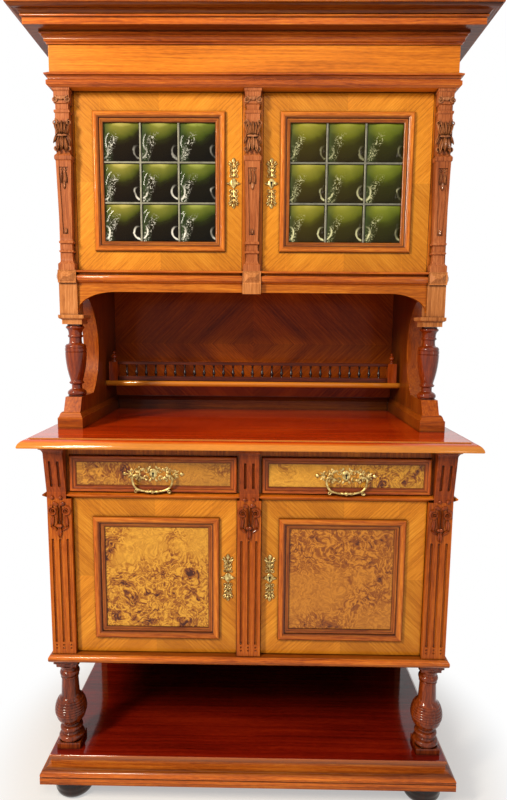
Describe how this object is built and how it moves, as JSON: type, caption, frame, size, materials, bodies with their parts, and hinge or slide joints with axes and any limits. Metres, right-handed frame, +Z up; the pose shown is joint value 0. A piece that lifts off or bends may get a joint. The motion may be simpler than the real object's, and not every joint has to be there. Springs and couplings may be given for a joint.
{
  "type": "buffet with display top",
  "caption": "Walnut-veneered buffet: open bay on turned columns, cupboard and drawers, polished counter, galleried alcove and leaded-glass display cabinet under a cornice",
  "frame": {"origin": "on the floor, under the centre of the overall width and depth", "axes": "+Z up, the doors and drawers face -Y, +X to the right of a person facing the front is the object's right-hand side in the picture"},
  "size_m": [1.332, 0.638, 2.305],
  "materials": {
    "walnut_veneer": "honey-brown walnut veneer under a bright shellac polish",
    "walnut_moulding": "red-brown solid walnut mouldings, polished",
    "polished_top": "deep red-brown boards with a mirror polish",
    "burl_veneer": "golden burl veneer with dark swirls, polished",
    "turned_walnut": "dark red-brown turned and carved walnut",
    "case_wood": "plain sawn inner and back boards, waxed",
    "leaded_glass": "bulged olive-green cathedral glass",
    "lead_came": "grey-brass lead cames",
    "brass_mount": "pale pierced brass mounts with a soft shine",
    "steel_pin": "steel pivot pins and lock cases"
  },
  "bodies": {
    "case": {"bun_feet": "turned_walnut", "plinth": "walnut_moulding", "bottom_shelf": "polished_top", "base_columns": "turned_walnut", "bay_side_boards": "walnut_veneer", "lower_deck": "walnut_moulding", "side_panels": "walnut_veneer", "back_panels": "case_wood", "lower_face_frame": "walnut_veneer", "drawer_bay_boards": "case_wood", "rail_nosing": "walnut_moulding", "lower_pilasters": "walnut_veneer", "consoles": "walnut_veneer", "counter_top": "polished_top", "inner_shelves": "case_wood", "alcove_riser": "walnut_veneer", "alcove_sides": "walnut_veneer", "alcove_back_panel": "walnut_veneer", "alcove_columns": "turned_walnut", "upper_posts": "walnut_veneer", "gallery_shelf": "walnut_moulding", "gallery_rails": "walnut_moulding", "gallery_spindles": "turned_walnut", "gallery_posts": "turned_walnut", "upper_boards": "walnut_veneer", "upper_face_frame": "walnut_veneer", "apron_rail": "walnut_veneer", "apron_moulding": "walnut_moulding", "pyramid_blocks": "walnut_moulding", "upper_pilasters": "turned_walnut", "frieze": "walnut_veneer", "frieze_mouldings": "walnut_moulding", "cornice": "walnut_moulding", "pivot_pins": "steel_pin"},
    "lower_door_left": {"lower_door_left_frame": "walnut_veneer", "lower_door_left_moulding": "walnut_moulding", "lower_door_left_panel": "burl_veneer", "lower_door_left_plate": "brass_mount"},
    "upper_door_left": {"upper_door_left_frame": "walnut_veneer", "upper_door_left_moulding": "walnut_moulding", "upper_door_left_cames": "lead_came", "upper_door_left_glass": "leaded_glass", "upper_door_left_plate": "brass_mount"},
    "drawer_left": {"drawer_left_front": "burl_veneer", "drawer_left_box": "case_wood", "drawer_left_pull": "brass_mount"},
    "bail_left": {"drawer_left_bail": "brass_mount"},
    "lower_door_right": {"lower_door_right_frame": "walnut_veneer", "lower_door_right_moulding": "walnut_moulding", "lower_door_right_panel": "burl_veneer", "lower_door_right_lock": "brass_mount"},
    "upper_door_right": {"upper_door_right_frame": "walnut_veneer", "upper_door_right_moulding": "walnut_moulding", "upper_door_right_cames": "lead_came", "upper_door_right_glass": "leaded_glass", "upper_door_right_lock": "brass_mount"},
    "drawer_right": {"drawer_right_front": "burl_veneer", "drawer_right_box": "case_wood", "drawer_right_pull": "brass_mount"},
    "bail_right": {"drawer_right_bail": "brass_mount"}
  },
  "joints": [
    {"name": "lower_door_left_hinge", "type": "hinge", "parent": "case", "child": "lower_door_left", "pos_m": [-0.4975, -0.241, 0.7085], "axis": [0, 0, -1], "range_deg": [0, 100]},
    {"name": "upper_door_left_hinge", "type": "hinge", "parent": "case", "child": "upper_door_left", "pos_m": [-0.5095, -0.082, 1.857], "axis": [0, 0, -1], "range_deg": [0, 85]},
    {"name": "drawer_left_slide", "type": "slide", "parent": "case", "child": "drawer_left", "axis": [0, -1, 0], "range_m": [0, 0.3]},
    {"name": "bail_left_swing", "type": "hinge", "parent": "drawer_left", "child": "bail_left", "pos_m": [-0.27625, -0.259, 1.01805], "axis": [-1, 0, 0], "range_deg": [0, 80]},
    {"name": "lower_door_right_hinge", "type": "hinge", "parent": "case", "child": "lower_door_right", "pos_m": [0.4975, -0.241, 0.7085], "axis": [0, 0, 1], "range_deg": [0, 100]},
    {"name": "upper_door_right_hinge", "type": "hinge", "parent": "case", "child": "upper_door_right", "pos_m": [0.5095, -0.082, 1.857], "axis": [0, 0, 1], "range_deg": [0, 85]},
    {"name": "drawer_right_slide", "type": "slide", "parent": "case", "child": "drawer_right", "axis": [0, -1, 0], "range_m": [0, 0.3]},
    {"name": "bail_right_swing", "type": "hinge", "parent": "drawer_right", "child": "bail_right", "pos_m": [0.27625, -0.259, 1.01805], "axis": [-1, 0, 0], "range_deg": [0, 80]}
  ]
}
